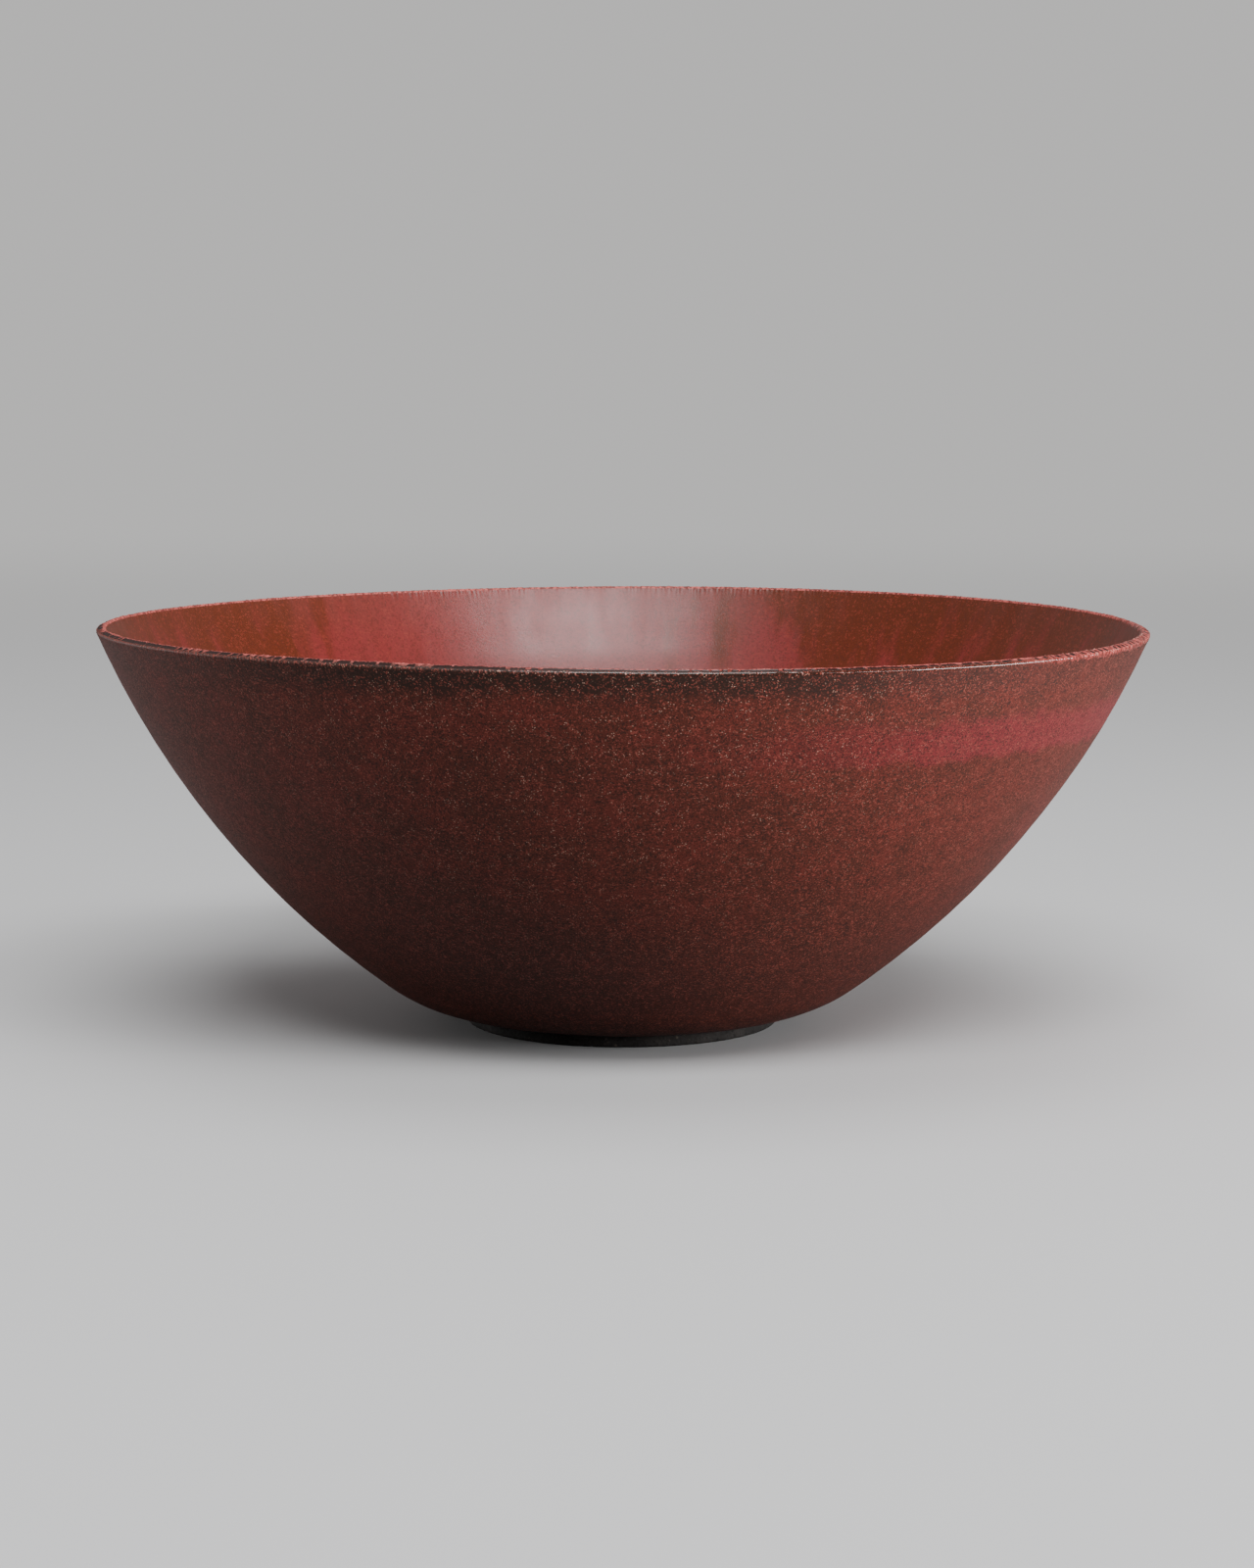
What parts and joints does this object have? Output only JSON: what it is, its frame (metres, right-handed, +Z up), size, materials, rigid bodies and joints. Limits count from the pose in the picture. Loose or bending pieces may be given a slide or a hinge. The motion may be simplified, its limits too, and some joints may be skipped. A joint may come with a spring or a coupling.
{
  "type": "ceramic bowl",
  "caption": "Wide thin-walled ceramic bowl with a tapering wall, a half-round lip, a low foot ring and a mottled red-brown fired coat.",
  "frame": {"origin": "middle of the foot ring's rest face, on the surface that the bowl stands on", "axes": "+Z up along the bowl's axis of symmetry; +X to the right and +Y away from the viewer in the picture"},
  "size_m": [0.2, 0.2, 0.077],
  "materials": {
    "dark_clay": "bare fired stoneware clay, dark grey-brown, matt",
    "foot_clay": "bare fired clay, smoothed on the wheel, matt",
    "outer_coat": "satin red-brown coat with a fine dark and red mottle",
    "inner_coat": "satin rose-red coat with brown mottle near the lip",
    "lip_coat": "coat broken brown and pink over the lip"
  },
  "bodies": {
    "root": {"clay_body": "dark_clay", "foot_ring": "foot_clay", "outer_slip": "outer_coat", "inner_slip": "inner_coat", "lip_slip": "lip_coat"}
  },
  "joints": []
}
